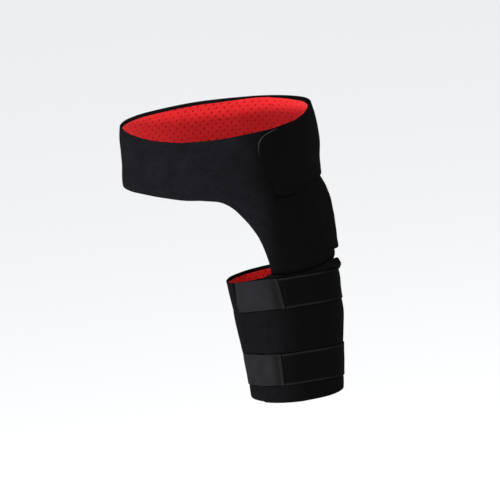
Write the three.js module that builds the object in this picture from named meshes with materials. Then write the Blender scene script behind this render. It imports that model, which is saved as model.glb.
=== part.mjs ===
import * as THREE from 'three';

// Hip support brace: a waist belt cut in one with a hip panel, and a thigh wrap closed by two straps.
// Millimetres, Z up, the wearer's front towards -Y, the braced hip towards +X.
// Every cloth sheet is laid on a body form. A place on the form is a turn in degrees
// (0 at +X, 90 at the front, 180 at -X, 270 at the back), a height, and a distance out from the form.

const columnTurn = 6;        // degrees between the columns of a sheet
const linerThickness = 1.0;
const foamThickness = 3.0;
const strapThickness = 1.7;
const layerGap = 0.45;       // between bonded or touching layers
const looseGap = 0.9;        // between layers that only lie on each other
const linerMargin = 2.0;     // the lining stops this far below a rim

// The form: where its left, right, front and back stand at each height.
const form = [
  { height: -434, left: 22.3, right: 153.9, front: -61.0, back: 61.0 },
  { height: -420, left: 20.9, right: 155.7, front: -62.8, back: 62.8 },
  { height: -401, left: 19.5, right: 157.2, front: -64.3, back: 64.3 },
  { height: -363, left: 16.3, right: 160.9, front: -67.6, back: 67.6 },
  { height: -329, left: 12.8, right: 164.2, front: -71.0, back: 71.0 },
  { height: -285, left: 7.6, right: 168.0, front: -75.0, back: 75.0 },
  { height: -245, left: 2.0, right: 165.6, front: -77.9, back: 78.8 },
  { height: -213, left: -2.4, right: 163.8, front: -79.7, back: 81.6 },
  { height: -184, left: -24.9, right: 174.9, front: -88.1, back: 90.9 },
  { height: -151, left: -58.9, right: 174.9, front: -93.8, back: 97.5 },
  { height: -113, left: -104.1, right: 173.0, front: -102.3, back: 105.1 },
  { height: -85, left: -136.2, right: 167.3, front: -108.9, back: 110.7 },
  { height: -57, left: -157.0, right: 157.0, front: -113.6, back: 113.6 },
  { height: -38, left: -157.9, right: 156.5, front: -115.5, back: 114.5 },
  { height: 0, left: -155.5, right: 159.3, front: -115.5, back: 114.5 },
  { height: 33, left: -155.1, right: 156.5, front: -113.6, back: 112.6 },
  { height: 66, left: -150.3, right: 146.6, front: -110.7, back: 110.7 },
];

// The waist belt's two edges, all the way round.
const waistRim = [
  { turn: 0, height: 61 }, { turn: 14, height: 57.5 }, { turn: 33, height: 52.1 }, { turn: 55, height: 45.5 },
  { turn: 71, height: 42.0 }, { turn: 90, height: 39.2 }, { turn: 109, height: 38.5 }, { turn: 124, height: 40.1 },
  { turn: 143, height: 46.5 }, { turn: 173, height: 52.5 }, { turn: 205, height: 53.6 }, { turn: 237, height: 55.8 },
  { turn: 264, height: 57.4 }, { turn: 288, height: 59.4 }, { turn: 320, height: 61.8 }, { turn: 345, height: 62.6 },
  { turn: 360, height: 61 },
];
const beltLow = [
  { turn: 104, height: -60.5 }, { turn: 113, height: -59 }, { turn: 128, height: -53.5 }, { turn: 147, height: -47.8 },
  { turn: 170, height: -45 }, { turn: 200, height: -42 }, { turn: 240, height: -40 }, { turn: 280, height: -41 },
  { turn: 310, height: -46 }, { turn: 340, height: -53 }, { turn: 368, height: -57.2 }, { turn: 386, height: -57.8 },
  { turn: 395, height: -60.1 }, { turn: 401, height: -63.8 }, { turn: 408, height: -68.6 }, { turn: 414, height: -70.3 },
  { turn: 420, height: -70.3 },
];
const hipPanelTurn = { rear: -52, front: 104 };
const linerEnd = 307.4; // the lining stops where the belt passes behind the hip panel's rear edge
const beltTurn = { end: 428, endStarts: 392, risesFrom: 282, risenAt: 302 };

// The belt's free end: a rounded flap with a slanted lower edge. rise is the share of the belt's height.
const flapEnd = [
  { rise: 0, turn: 416.0, height: -69.6 },
  { rise: 0.12, turn: 417.6, height: -58 },
  { rise: 0.30, turn: 420.2, height: -38 },
  { rise: 0.50, turn: 424.2, height: -15 },
  { rise: 0.66, turn: 426.8, height: 3 },
  { rise: 0.80, turn: 427.2, height: 16 },
  { rise: 0.93, turn: 424.0, height: 32.5 },
  { rise: 1, turn: 413.5, height: 44.5 },
];

// The hip panel from the belt down: its groin edge in front, its free lobe behind, then the
// narrower tongue that runs down inside the thigh wrap.
const hipPanel = [
  { front: 93.5, frontHeight: -66, rear: -52, rearHeight: -70 },
  { front: 89.5, frontHeight: -78, rear: -52, rearHeight: -86 },
  { front: 88.1, frontHeight: -96, rear: -51.5, rearHeight: -104 },
  { front: 88.0, frontHeight: -113, rear: -49, rearHeight: -122 },
  { front: 88.4, frontHeight: -128, rear: -43, rearHeight: -139 },
  { front: 90.0, frontHeight: -145, rear: -31, rearHeight: -155 },
  { front: 92.0, frontHeight: -160, rear: -16, rearHeight: -168 },
  { front: 94.2, frontHeight: -174, rear: -1, rearHeight: -177 },
  { front: 94.8, frontHeight: -178, rear: 19, rearHeight: -180 },
  { front: 96.6, frontHeight: -189, rear: 20, rearHeight: -190 },
  { front: 97.8, frontHeight: -203, rear: 22, rearHeight: -203 },
  { front: 98.0, frontHeight: -236, rear: 25, rearHeight: -236 },
];

// The thigh wrap: its rim, its hem, and where its two ends meet at the front.
const thighRim = [
  { turn: 0, height: -208 }, { turn: 14, height: -206.5 }, { turn: 40, height: -205.5 }, { turn: 85, height: -206.3 },
  { turn: 101, height: -206.2 }, { turn: 108, height: -209.6 }, { turn: 121, height: -213 }, { turn: 136, height: -216.4 },
  { turn: 164, height: -222.3 }, { turn: 199, height: -222.8 }, { turn: 240, height: -221.3 }, { turn: 275, height: -220 },
  { turn: 310, height: -217.5 }, { turn: 340, height: -212.5 }, { turn: 360, height: -208 },
];
const thighHem = -422;
const thighTurn = { innerEnd: 98, outerEdge: 470, risesFrom: 430, risenAt: 452 };
const thighEdgeTop = { turn: 107, height: -206, turnPerMm: -0.13 };
const thighRows = [0, 0.15, 0.4, 0.76, 0.93, 1];
const strapRows = [-0.5, 0, 0.5]; // shares of a strap's width
const rimFlare = { turn: 0, halfWidth: 42, out: 3.2, depth: 15 };

// Both straps lie on the thigh wrap; turns run from the sewn end behind to the free end of the tab.
const straps = {
  upper: { middle: -245, tilt: 12, width: 52, from: -128, joint: 97.4, tabEndTop: 143.4, tabEndLow: 150.2 },
  lower: { middle: -373, tilt: 9.5, width: 54, from: -128, joint: 107.3, tabEndTop: 170, tabEndLow: 176 },
};
const strapOverTab = 8; // degrees that the strap's end covers of its tab

const tongueTuck = 1.6; // the tongue lies this much closer to the leg than the panel above it
const flapRise = foamThickness + looseGap;
const thighLayer = linerThickness + layerGap + foamThickness + looseGap;
const thighFace = thighLayer + linerThickness + layerGap + foamThickness;
const overlapRise = foamThickness + looseGap;

// Smooth curve through one column of a table, with no overshoot between its rows.
function along(table, key, at, value) {
  const last = table.length - 1;
  if (at <= table[0][key]) return table[0][value];
  if (at >= table[last][key]) return table[last][value];
  let i = 0;
  while (at > table[i + 1][key]) i++;
  const span = (k) => table[k + 1][key] - table[k][key];
  const slope = (k) => (table[k + 1][value] - table[k][value]) / span(k);
  const bend = (k) => {
    if (k === 0 || k === last) return slope(k === 0 ? 0 : last - 1);
    const before = slope(k - 1);
    const after = slope(k);
    return before * after <= 0 ? 0 : 2 * before * after / (before + after);
  };
  const u = (at - table[i][key]) / span(i);
  const startWeight = 2 * u ** 3 - 3 * u ** 2 + 1;
  const startBend = u ** 3 - 2 * u ** 2 + u;
  const endBend = u ** 3 - u ** 2;
  return startWeight * table[i][value] + (1 - startWeight) * table[i + 1][value]
    + span(i) * (startBend * bend(i) + endBend * bend(i + 1));
}

const ramp = (at, from, to) => THREE.MathUtils.smoothstep(at, from, to);
const around = (turn) => THREE.MathUtils.euclideanModulo(turn, 360);

function formPoint(turn, height, out) {
  const left = along(form, 'height', height, 'left');
  const right = along(form, 'height', height, 'right');
  const cos = Math.cos(THREE.MathUtils.degToRad(turn));
  const sin = Math.sin(THREE.MathUtils.degToRad(turn));
  const halfWidth = (right - left) / 2;
  const halfDepth = Math.abs(along(form, 'height', height, sin > 0 ? 'front' : 'back'));
  const outward = new THREE.Vector3(cos / halfWidth, -sin / halfDepth, 0).normalize();
  return new THREE.Vector3((left + right) / 2 + halfWidth * cos, -halfDepth * sin, height)
    .addScaledVector(outward, out);
}

// A sheet is a set of cells on shared places, so that blocks join along the rows they have in common.
class Sheet {
  constructor() {
    this.places = [];
    this.cells = [];
    this.known = new Map();
  }

  place(turn, height) {
    const name = `${turn.toFixed(3)} ${height.toFixed(3)}`;
    if (!this.known.has(name)) {
      this.known.set(name, this.places.length);
      this.places.push({ turn, height });
    }
    return this.known.get(name);
  }

  // rows run upwards, each a list of places in order of turn
  addBlock(rows) {
    const ids = rows.map((row) => row.map(({ turn, height }) => this.place(turn, height)));
    for (let r = 0; r + 1 < ids.length; r++) {
      for (let c = 0; c + 1 < ids[r].length; c++) {
        this.cells.push([ids[r][c], ids[r][c + 1], ids[r + 1][c + 1], ids[r + 1][c]]);
      }
    }
    return this;
  }

  // A closed solid between two distances out from the form.
  solid(inner, outer) {
    const positions = [];
    for (const { turn, height } of this.places) {
      positions.push(...formPoint(turn, height, inner(turn, height)).toArray());
      positions.push(...formPoint(turn, height, outer(turn, height)).toArray());
    }
    const triangles = [];
    const edges = new Map();
    for (const cell of this.cells) {
      const [a, b, c, d] = cell.map((id) => 2 * id);
      triangles.push(a, b, c, a, c, d);
      triangles.push(a + 1, c + 1, b + 1, a + 1, d + 1, c + 1);
      cell.forEach((id, k) => edges.set(`${id} ${cell[(k + 1) % 4]}`, [id, cell[(k + 1) % 4]]));
    }
    for (const [from, to] of edges.values()) {
      if (edges.has(`${to} ${from}`)) continue;
      triangles.push(2 * to, 2 * from, 2 * from + 1, 2 * to, 2 * from + 1, 2 * to + 1);
    }
    const geometry = new THREE.BufferGeometry();
    geometry.setAttribute('position', new THREE.Float32BufferAttribute(positions, 3));
    geometry.setIndex(triangles);
    geometry.computeVertexNormals();
    return geometry;
  }
}

const columns = (from, to, step = columnTurn) => {
  const count = Math.max(1, Math.round((to - from) / step));
  return Array.from({ length: count + 1 }, (_, k) => from + (to - from) * k / count);
};

// Whole columns first, then what is left of the last one.
const wholeColumns = (from, to) => {
  const last = from + Math.floor((to - from) / columnTurn) * columnTurn;
  return to - last > 0.01 ? [...columns(from, last), to] : columns(from, last);
};

// Lower edge of the belt; over the hip panel it is the line where the two blocks join.
function beltLowAt(turn) {
  if (turn <= hipPanelTurn.front) {
    const share = (turn - hipPanelTurn.rear) / (hipPanelTurn.front - hipPanelTurn.rear);
    return THREE.MathUtils.lerp(-56, along(beltLow, 'turn', hipPanelTurn.front, 'height'), share);
  }
  return along(beltLow, 'turn', turn, 'height');
}

// The belt and hip panel as one cut piece; trim draws every free edge in, for the lining.
function waistSheet(endTurn, trim) {
  const trimTurn = trim / 2; // a degree is about 2 mm round the hip
  const beltTurns = wholeColumns(hipPanelTurn.rear, endTurn);
  const panelColumns = Math.round((hipPanelTurn.front - hipPanelTurn.rear) / columnTurn);
  const beltRows = flapEnd.map(({ rise, turn: flapTurn, height: flapHeight }) => beltTurns.map((turn, c) => {
    const rim = along(waistRim, 'turn', around(turn), 'height');
    const inward = rise === 1 ? -trim : rise === 0 && c > panelColumns ? trim : 0;
    const height = THREE.MathUtils.lerp(beltLowAt(turn), rim, rise) + inward;
    if (turn <= beltTurn.endStarts) return { turn, height };
    const share = (turn - beltTurn.endStarts) / (beltTurn.end - beltTurn.endStarts);
    const endHeight = THREE.MathUtils.lerp(beltLowAt(beltTurn.end), along(waistRim, 'turn', around(beltTurn.end), 'height'), rise);
    return {
      turn: turn + share * (flapTurn - beltTurn.end),
      height: height + share ** 2 * (flapHeight - endHeight),
    };
  }));
  const panelRows = hipPanel.map((row) => columns(0, 1, 1 / panelColumns).map((share) => ({
    turn: THREE.MathUtils.lerp(row.rear, row.front, share) + trimTurn * ((share === 0) - (share === 1)),
    height: THREE.MathUtils.lerp(row.rearHeight, row.frontHeight, share),
  })));
  const joined = beltRows[0].slice(0, panelColumns + 1);
  return new Sheet().addBlock(beltRows).addBlock([...panelRows.reverse(), joined]);
}

function thighSheet(fromTurn, toTurn, trim) {
  const turns = columns(fromTurn, toTurn);
  const edgeShift = (turn, height) => {
    const edge = 360 + thighEdgeTop.turn + (height - thighEdgeTop.height) * thighEdgeTop.turnPerMm;
    return ramp(turn, thighTurn.risenAt, thighTurn.outerEdge) * (edge - thighTurn.outerEdge);
  };
  return new Sheet().addBlock(thighRows.map((rise) => turns.map((turn) => {
    const rim = along(thighRim, 'turn', around(turn), 'height');
    const height = THREE.MathUtils.lerp(thighHem, rim, rise) + trim * ((rise === 0) - (rise === 1));
    return { turn: turn + (turn > thighTurn.risenAt ? edgeShift(turn, height) : 0), height };
  })));
}

function bandSheet({ middle, tilt, width }, fromTurn, toTurn) {
  const turns = columns(0, 1, columnTurn / (Math.max(...toTurn) - fromTurn));
  return new Sheet().addBlock(strapRows.map((side) => turns.map((share) => {
    const turn = THREE.MathUtils.lerp(fromTurn, THREE.MathUtils.lerp(toTurn[0], toTurn[1], side + 0.5), share);
    return { turn, height: middle + tilt * Math.sin(THREE.MathUtils.degToRad(turn)) + side * width };
  })));
}

// How far each layer stands out from the form.
const waistLift = (turn, height) => flapRise * ramp(turn, beltTurn.risesFrom, beltTurn.risenAt)
  - tongueTuck * ramp(-height, 188, 204);
const flare = (turn, height) => {
  const off = Math.abs(around(turn - rimFlare.turn + 180) - 180);
  const below = along(thighRim, 'turn', around(turn), 'height') - height;
  return rimFlare.out * (1 - ramp(off, 0, rimFlare.halfWidth)) * THREE.MathUtils.clamp(1 - below / rimFlare.depth, 0, 1);
};
const thighLift = (turn, height) => overlapRise * ramp(turn, thighTurn.risesFrom, thighTurn.risenAt) + flare(turn, height);
const strapBase = (turn, height) => {
  const edge = thighEdgeTop.turn + (height - thighEdgeTop.height) * thighEdgeTop.turnPerMm;
  const over = ramp(turn + 360, thighTurn.risesFrom, thighTurn.risenAt) * (1 - ramp(turn, edge + 3, edge + 16));
  return thighFace + looseGap + overlapRise * over + flare(turn, height);
};

const neoprene = { color: 0x1c1c21, roughness: 0.95, metalness: 0 };
const lining = { color: 0xe02a2e, roughness: 0.8, metalness: 0 };
const webbing = { color: 0x0f0f10, roughness: 0.7, metalness: 0 };
const tabCloth = { color: 0x2e2e32, roughness: 0.6, metalness: 0 };

const brace = new THREE.Group();
brace.name = 'hip_support_brace';

function addPiece(name, geometry, look) {
  const piece = new THREE.Mesh(geometry, new THREE.MeshStandardMaterial(look));
  piece.name = name;
  brace.add(piece);
}

addPiece('belt_and_hip_panel', waistSheet(beltTurn.end, 0).solid(
  (turn, height) => linerThickness + layerGap + waistLift(turn, height),
  (turn, height) => linerThickness + layerGap + foamThickness + waistLift(turn, height),
), neoprene);

addPiece('waist_lining', waistSheet(linerEnd, linerMargin).solid(
  (turn, height) => waistLift(turn, height),
  (turn, height) => linerThickness + waistLift(turn, height),
), lining);

addPiece('thigh_wrap', thighSheet(thighTurn.innerEnd, thighTurn.outerEdge, 0).solid(
  (turn, height) => thighFace - foamThickness + thighLift(turn, height),
  (turn, height) => thighFace + thighLift(turn, height),
), neoprene);

addPiece('thigh_lining', thighSheet(thighTurn.innerEnd, thighTurn.risenAt, linerMargin).solid(
  (turn, height) => thighLayer + thighLift(turn, height),
  (turn, height) => thighLayer + linerThickness + thighLift(turn, height),
), lining);

for (const [name, strap] of Object.entries(straps)) {
  const step = strapThickness + layerGap;
  const overTab = (turn) => step * ramp(turn, strap.joint - strapOverTab - 14, strap.joint - strapOverTab - columnTurn);
  addPiece(`${name}_thigh_strap`, bandSheet(strap, strap.from, [strap.joint, strap.joint]).solid(
    (turn, height) => strapBase(turn, height) + overTab(turn),
    (turn, height) => strapBase(turn, height) + overTab(turn) + strapThickness,
  ), webbing);
  addPiece(`${name}_strap_tab`, bandSheet(strap, strap.joint - strapOverTab, [strap.tabEndLow, strap.tabEndTop]).solid(
    (turn, height) => strapBase(turn, height),
    (turn, height) => strapBase(turn, height) + strapThickness,
  ), tabCloth);
}

export default brace;
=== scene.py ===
import bpy
import math
from mathutils import Matrix, Quaternion, Vector, noise


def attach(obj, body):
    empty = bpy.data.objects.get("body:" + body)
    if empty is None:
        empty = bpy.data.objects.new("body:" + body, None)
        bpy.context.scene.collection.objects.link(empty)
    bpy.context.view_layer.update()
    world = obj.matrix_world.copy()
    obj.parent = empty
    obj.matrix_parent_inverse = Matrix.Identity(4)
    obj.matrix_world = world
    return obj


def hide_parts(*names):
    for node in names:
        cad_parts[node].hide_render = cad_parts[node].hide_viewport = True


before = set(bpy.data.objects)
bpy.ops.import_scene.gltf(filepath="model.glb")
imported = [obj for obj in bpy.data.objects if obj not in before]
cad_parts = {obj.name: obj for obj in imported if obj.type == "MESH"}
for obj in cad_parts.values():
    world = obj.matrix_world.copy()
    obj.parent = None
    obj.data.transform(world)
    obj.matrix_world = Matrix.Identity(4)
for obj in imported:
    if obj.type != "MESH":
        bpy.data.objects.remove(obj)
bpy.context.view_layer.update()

print("CAD frame loaded:", ", ".join(sorted(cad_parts)))

mm = 0.001


# smooth curve through one column of a table, with no overshoot between its rows
def along(table, key, at, value):
    last = len(table) - 1
    if at <= table[0][key]:
        return table[0][value]
    if at >= table[last][key]:
        return table[last][value]
    i = 0
    while at > table[i + 1][key]:
        i += 1

    def slope(k):
        return (table[k + 1][value] - table[k][value]) / (table[k + 1][key] - table[k][key])

    def bend(k):
        if k == 0 or k == last:
            return slope(min(k, last - 1))
        before, after = slope(k - 1), slope(k)
        return 0 if before * after <= 0 else 2 * before * after / (before + after)

    span = table[i + 1][key] - table[i][key]
    u = (at - table[i][key]) / span
    start = 2 * u ** 3 - 3 * u ** 2 + 1
    bends = (u ** 3 - 2 * u ** 2 + u) * bend(i) + (u ** 3 - u ** 2) * bend(i + 1)
    return start * table[i][value] + (1 - start) * table[i + 1][value] + span * bends


def ramp(at, low, high):
    share = min(1, max(0, (at - low) / (high - low)))
    return share * share * (3 - 2 * share)


def mix(a, b, share):
    return a + (b - a) * share


# 0 outside the first and last of four stops, 1 between the two inner ones
def within(at, stops):
    begins, full, eases, ends = stops
    return ramp(at, begins, full) * (1 - ramp(at, eases, ends))


# the wearer's form that the brace is laid on, in millimetres
bodyForm = [
    {"height": -434, "left": 22.3, "right": 153.9, "front": 61.0, "back": 61.0},
    {"height": -420, "left": 20.9, "right": 155.7, "front": 62.8, "back": 62.8},
    {"height": -401, "left": 19.5, "right": 157.2, "front": 64.3, "back": 64.3},
    {"height": -363, "left": 16.3, "right": 160.9, "front": 67.6, "back": 67.6},
    {"height": -329, "left": 12.8, "right": 164.2, "front": 71.0, "back": 71.0},
    {"height": -285, "left": 7.6, "right": 168.0, "front": 75.0, "back": 75.0},
    {"height": -245, "left": 2.0, "right": 165.6, "front": 77.9, "back": 78.8},
    {"height": -213, "left": -2.4, "right": 163.8, "front": 79.7, "back": 81.6},
    {"height": -184, "left": -24.9, "right": 174.9, "front": 88.1, "back": 90.9},
    {"height": -151, "left": -58.9, "right": 174.9, "front": 93.8, "back": 97.5},
    {"height": -113, "left": -104.1, "right": 173.0, "front": 102.3, "back": 105.1},
    {"height": -85, "left": -136.2, "right": 167.3, "front": 108.9, "back": 110.7},
    {"height": -57, "left": -157.0, "right": 157.0, "front": 113.6, "back": 113.6},
    {"height": -38, "left": -157.9, "right": 156.5, "front": 115.5, "back": 114.5},
    {"height": 0, "left": -155.5, "right": 159.3, "front": 115.5, "back": 114.5},
    {"height": 33, "left": -155.1, "right": 156.5, "front": 113.6, "back": 112.6},
    {"height": 66, "left": -150.3, "right": 150.6, "front": 110.7, "back": 110.7},
]
formSides = ("left", "right", "front", "back")
formCache = {}


def formRow(height):
    key = round(height, 2)
    if key not in formCache:
        formCache[key] = [along(bodyForm, "height", key, side) for side in formSides]
    return formCache[key]


# turn, in degrees: 0 at +X, 90 at the front, 180 at -X, 270 at the back, and more for what laps over;
# height and out, the distance off the form, are in millimetres
def formPoint(turn, height, out):
    left, right, front, back = formRow(height)
    cos, sin = math.cos(math.radians(turn)), math.sin(math.radians(turn))
    halfWidth = (right - left) / 2
    halfDepth = front if sin > 0 else back
    outward = Vector((cos / halfWidth, -sin / halfDepth, 0)).normalized()
    spot = Vector(((left + right) / 2 + halfWidth * cos, -halfDepth * sin, height))
    return (spot + outward * out) * mm


# thicknesses and gaps in millimetres
layers = {
    "liner": 1.0, "foam": 3.0, "strap": 1.7,
    "bonded": 0.45,  # gap between bonded layers
    "loose": 0.9,  # gap between layers that only touch
    "linerMargin": 2.0,  # how far a lining stays back from the foam's edge
    "foamEdge": 1.0, "linerEdge": 0.3,  # roundness of the cut edges
}
thighLiner = layers["liner"] + layers["bonded"] + layers["foam"] + layers["loose"]
thighFace = thighLiner + layers["liner"] + layers["bonded"] + layers["foam"]
doubled = layers["foam"] + layers["loose"]

# slow unevenness of worn cloth: how often it changes round and up the body, and how high it is
unevenness = {"around": 2.0, "heightStep": 62, "broad": 1.3, "fine": 0.55, "fineScale": 2.9}
perDegree = 2.1  # millimetres round the body for each degree, near enough for a crease
creaseReach = 90  # millimetres from its middle beyond which a crease isn't felt
# soft creases: place and slant in degrees, length, width and rise in millimetres
creases = [
    {"turn": 38, "height": -57, "length": 7, "width": 2.6, "slant": 22, "rise": 0.9},
    {"turn": 122, "height": 29, "length": 20, "width": 2.6, "slant": 8, "rise": 2},
    {"turn": 127, "height": 24, "length": 15, "width": 2.2, "slant": 26, "rise": -1.5},
    {"turn": 108, "height": 14, "length": 24, "width": 4, "slant": 40, "rise": 1.8},
    {"turn": 97, "height": -22, "length": 26, "width": 5, "slant": -35, "rise": 1.8},
    {"turn": 132, "height": -26, "length": 20, "width": 4, "slant": 8, "rise": -0.6},
    {"turn": 84, "height": -66, "length": 30, "width": 6, "slant": -50, "rise": 0.8},
    {"turn": 76, "height": -118, "length": 34, "width": 7, "slant": -72, "rise": -0.9},
    {"turn": 12, "height": -112, "length": 52, "width": 7, "slant": 86, "rise": 2},
    {"turn": 1, "height": -181, "length": 16, "width": 7, "slant": 0, "rise": 1.6},
    {"turn": 26, "height": -128, "length": 46, "width": 8, "slant": 84, "rise": -1.2},
    {"turn": 214, "height": 8, "length": 30, "width": 5, "slant": 62, "rise": 0.9},
    {"turn": 246, "height": -8, "length": 24, "width": 5, "slant": 75, "rise": -0.8},
    {"turn": 128, "height": -300, "length": 22, "width": 3.5, "slant": 12, "rise": 0.7},
    {"turn": 139, "height": -318, "length": 18, "width": 3, "slant": -18, "rise": -0.6},
    {"turn": 104, "height": -286, "length": 16, "width": 3.5, "slant": 25, "rise": 0.6},
    {"turn": 222, "height": -308, "length": 30, "width": 5, "slant": 8, "rise": 1},
    {"turn": 290, "height": -322, "length": 30, "width": 5, "slant": -12, "rise": 0.9},
]


def creased(turn, height):
    total = 0
    for creaseAndShade in creases:
        aside = ((turn - creaseAndShade["turn"] + 180) % 360 - 180) * perDegree
        above = height - creaseAndShade["height"]
        if abs(above) > creaseReach or abs(aside) > creaseReach:
            continue
        slant = math.radians(creaseAndShade["slant"])
        down = (-aside * math.cos(slant) + above * math.sin(slant)) / creaseAndShade["length"]
        across = (aside * math.sin(slant) + above * math.cos(slant)) / creaseAndShade["width"]
        total += creaseAndShade["rise"] * math.exp(-down * down - across * across)
    return total


# the same for all the layers at one place
def drift(turn, height):
    angle, around = math.radians(turn), unevenness["around"]
    up = height / unevenness["heightStep"]
    spot = Vector((math.cos(angle) * around, math.sin(angle) * around, up))
    broad = unevenness["broad"] * noise.noise(spot)
    fine = unevenness["fine"] * noise.noise(spot * unevenness["fineScale"])
    return broad + fine + creased(turn, height)


# lays a grid of cloth on the form: rows run upwards, each a list of (turn, height), and shadeAt gives
# each place a value for its material, which on most pieces also paints light and shade, from 1 down to
# 0, or to -1 for a painted black shadow line;
# clothMap holds the length along the row and the height, endMap the distance to the row's end and shade
def layGrid(name, rows, outAt, shadeAt, endShift=0):
    across, up = len(rows[0]) - 1, len(rows) - 1
    bpy.ops.object.select_all(action="DESELECT")
    bpy.ops.mesh.primitive_grid_add(x_subdivisions=across, y_subdivisions=up, size=1)
    cloth = bpy.context.active_object
    cloth.name = name
    mesh = cloth.data
    places = [[formPoint(turn, height, outAt(turn, height)) for turn, height in row] for row in rows]
    lengths = [rowLengths(row, spots) for row, spots in zip(rows, places)]
    homes = []
    for vertex in mesh.vertices:
        i, j = round((vertex.co.x + 0.5) * across), round((vertex.co.y + 0.5) * up)
        homes.append((i, j))
        vertex.co = places[j][i]
    for layer in list(mesh.uv_layers):
        mesh.uv_layers.remove(layer)
    mesh.uv_layers.new(name="clothMap")
    mesh.uv_layers.new(name="endMap")
    chart, ends = mesh.uv_layers["clothMap"], mesh.uv_layers["endMap"]
    for loop in mesh.loops:
        i, j = homes[loop.vertex_index]
        chart.data[loop.index].uv = (lengths[j][i], rows[j][i][1] * mm)
        ends.data[loop.index].uv = (lengths[j][-1] - lengths[j][i] + endShift, shadeAt(*rows[j][i]))
    return cloth


frontTurn = 90
stepToFront = {"hip": 1.9, "thigh": 1.5}  # millimetres for each degree that a row lacks to the front


# distance along each row in metres, counted from the front of the body
def rowLengths(row, spots):
    run = [0]
    for a, b in zip(spots, spots[1:]):
        run.append(run[-1] + (b - a).length)
    turns = [turn for turn, height in row]
    if turns[-1] < frontTurn:
        zero = run[-1] + (frontTurn - turns[-1]) * stepToFront["hip"] * mm
    elif turns[0] > frontTurn:
        zero = run[0] - (turns[0] - frontTurn) * stepToFront["thigh"] * mm
    else:
        k = min(sum(turn <= frontTurn for turn in turns), len(turns) - 1) - 1
        zero = mix(run[k], run[k + 1], (frontTurn - turns[k]) / (turns[k + 1] - turns[k]))
    return [length - zero for length in run]


weldDistance = 0.00002


# joins two cloths and welds their shared row
def joinCloth(first, second):
    bpy.ops.object.select_all(action="DESELECT")
    second.select_set(True)
    first.select_set(True)
    bpy.context.view_layer.objects.active = first
    bpy.ops.object.join()
    bpy.ops.object.mode_set(mode="EDIT")
    bpy.ops.mesh.select_all(action="SELECT")
    bpy.ops.mesh.remove_doubles(threshold=weldDistance)
    bpy.ops.object.mode_set(mode="OBJECT")
    return first


def applyAll(piece):
    bpy.ops.object.select_all(action="DESELECT")
    piece.select_set(True)
    bpy.context.view_layer.objects.active = piece
    for modifier in list(piece.modifiers):
        bpy.ops.object.modifier_apply(modifier=modifier.name)


cutEdge = {"segments": 3, "sharpFrom": 55, "smoothUnder": 50}  # angles in degrees


# gives a laid cloth its thickness and rounded cut edges, both in millimetres
def thicken(cloth, thickness, rounding):
    wall = cloth.modifiers.new("wall", "SOLIDIFY")
    wall.thickness = thickness * mm
    wall.offset = -1
    wall.use_quality_normals = True
    edge = cloth.modifiers.new("edge", "BEVEL")
    edge.width = rounding * mm
    edge.segments = cutEdge["segments"]
    edge.limit_method = "ANGLE"
    edge.angle_limit = math.radians(cutEdge["sharpFrom"])
    applyAll(cloth)
    bpy.ops.object.shade_smooth_by_angle(angle=math.radians(cutEdge["smoothUnder"]))


# gives a piece its material and place in the part; node is the CAD node that it stands for
def finishPiece(piece, material, node=None):
    piece.data.materials.clear()
    piece.data.materials.append(material)
    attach(piece, "root")
    if node:
        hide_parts(node)


# shares from 0 to 1, crowded towards both ends as crowd goes from 0 to 1
def shares(count, crowd):
    spread = []
    for k in range(count + 1):
        s = k / count
        spread.append(mix(s, 0.5 - 0.5 * math.cos(math.pi * s), crowd))
    return spread


# one value in a material, so that shader maths reads as plain expressions
class Value:
    def __init__(self, finish, socket):
        self.finish = finish
        self.socket = socket

    def maths(self, operation, *others, first=None):
        terms = [self] + list(others) if first is None else [first, self] + list(others)
        return self.finish.add("ShaderNodeMath", {"operation": operation}, dict(enumerate(terms)))

    def __add__(self, other):
        return self.maths("ADD", other)

    __radd__ = __add__

    def __mul__(self, other):
        return self.maths("MULTIPLY", other)

    __rmul__ = __mul__

    def __sub__(self, other):
        return self.maths("SUBTRACT", other)

    def __rsub__(self, other):
        return self.maths("SUBTRACT", first=other)

    def __truediv__(self, other):
        return self.maths("DIVIDE", other)

    def power(self, other):
        return self.maths("POWER", other)

    def fract(self):
        return self.maths("FRACT")

    def size(self):
        return self.maths("ABSOLUTE")

    def least(self, other):
        return self.maths("MINIMUM", other)

    def most(self, other):
        return self.maths("MAXIMUM", other)

    # a sine of the pitch given, in metres
    def waves(self, pitch):
        return (self * (2 * math.pi / pitch)).maths("SINE")

    # 0 under low, 1 over high
    def step(self, low, high):
        sockets = {0: self, 1: low, 2: high, 3: 0.0, 4: 1.0}
        return self.finish.add("ShaderNodeMapRange", {"interpolation_type": "SMOOTHSTEP"}, sockets)


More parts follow.
